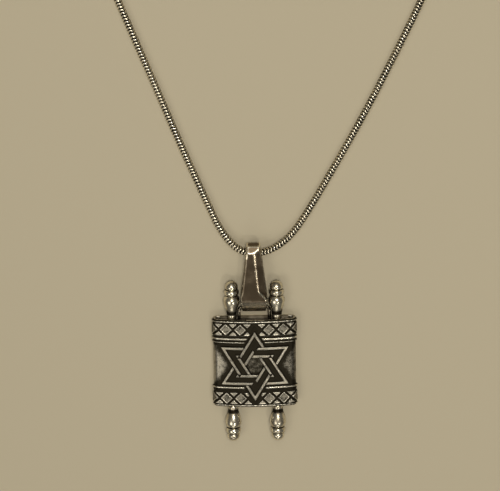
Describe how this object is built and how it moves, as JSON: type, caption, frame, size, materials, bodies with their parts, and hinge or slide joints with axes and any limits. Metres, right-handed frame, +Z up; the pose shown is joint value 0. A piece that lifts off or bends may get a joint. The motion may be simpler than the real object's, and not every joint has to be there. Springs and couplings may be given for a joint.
{
  "type": "mezuzah case pendant",
  "caption": "Scroll-shaped mezuzah case worn as a pendant: arched case with woven star and diamond bands, turned finials, sliding back door, tapered bail and snake chain with clasp.",
  "frame": {"origin": "on the surface the pendant lies on, under the middle of the box round case, finials and bail together (the chain is left out)", "axes": "+Z up out of the decorated front, +Y from the case towards the bail, +X to the case's right seen from the front"},
  "size_m": [0.0615, 0.1111, 0.0054],
  "materials": {
    "cast_silver": "antiqued silver-tone casting, dark in the recesses and bright on the raised edges",
    "smooth_silver": "polished and antiqued silver-tone plate",
    "chain_silver": "polished silver-tone snake chain",
    "fastening_silver": "polished silver-tone fastening",
    "plain_steel": "plain drawn steel",
    "parchment": "matte cream parchment"
  },
  "bodies": {
    "case": {"front_shell": "cast_silver", "back_plate": "cast_silver", "top_end_plate": "cast_silver", "bottom_end_plate": "cast_silver", "upper_band": "cast_silver", "lower_band": "cast_silver", "star": "cast_silver", "hanging_loop": "smooth_silver", "parchment_scroll": "parchment"},
    "back_door": {"back_door": "smooth_silver"},
    "left_roller": {"left_roller_rod": "plain_steel", "left_top_finial": "cast_silver", "left_bottom_finial": "cast_silver"},
    "right_roller": {"right_roller_rod": "plain_steel", "right_top_finial": "cast_silver", "right_bottom_finial": "cast_silver"},
    "bail": {"bail": "smooth_silver"},
    "chain": {"chain": "chain_silver", "chain_coil": "chain_silver", "left_end_cap": "fastening_silver", "right_end_cap": "fastening_silver", "jump_ring": "fastening_silver", "end_ring": "fastening_silver", "clasp_body": "fastening_silver", "clasp_pin": "plain_steel", "clasp_spring": "plain_steel"},
    "clasp_lever": {"clasp_lever": "fastening_silver"}
  },
  "joints": [
    {"name": "door_slide", "type": "slide", "parent": "case", "child": "back_door", "axis": [0, -1, 0], "range_m": [0, 0.014]},
    {"name": "left_roller_turn", "type": "hinge", "parent": "case", "child": "left_roller", "pos_m": [-0.00415, -0.00369, 0.00155], "axis": [0, 1, 0], "continuous": true},
    {"name": "right_roller_turn", "type": "hinge", "parent": "case", "child": "right_roller", "pos_m": [0.00415, -0.00369, 0.00155], "axis": [0, 1, 0], "continuous": true},
    {"name": "bail_swing", "type": "hinge", "parent": "case", "child": "bail", "pos_m": [0, 0.00684, 0.00105], "axis": [1, 0, 0], "range_deg": [0, 80]},
    {"name": "chain_swing", "type": "hinge", "parent": "bail", "child": "chain", "pos_m": [0, 0.01746, 0.0014], "axis": [1, 0, 0], "range_deg": [0, 100]},
    {"name": "clasp_open", "type": "hinge", "parent": "chain", "child": "clasp_lever", "pos_m": [0.00408, 0.0753, 0.00415], "axis": [0, 0, 1], "range_deg": [0, 12], "stiffness_Nm_per_rad": 0.0001}
  ]
}
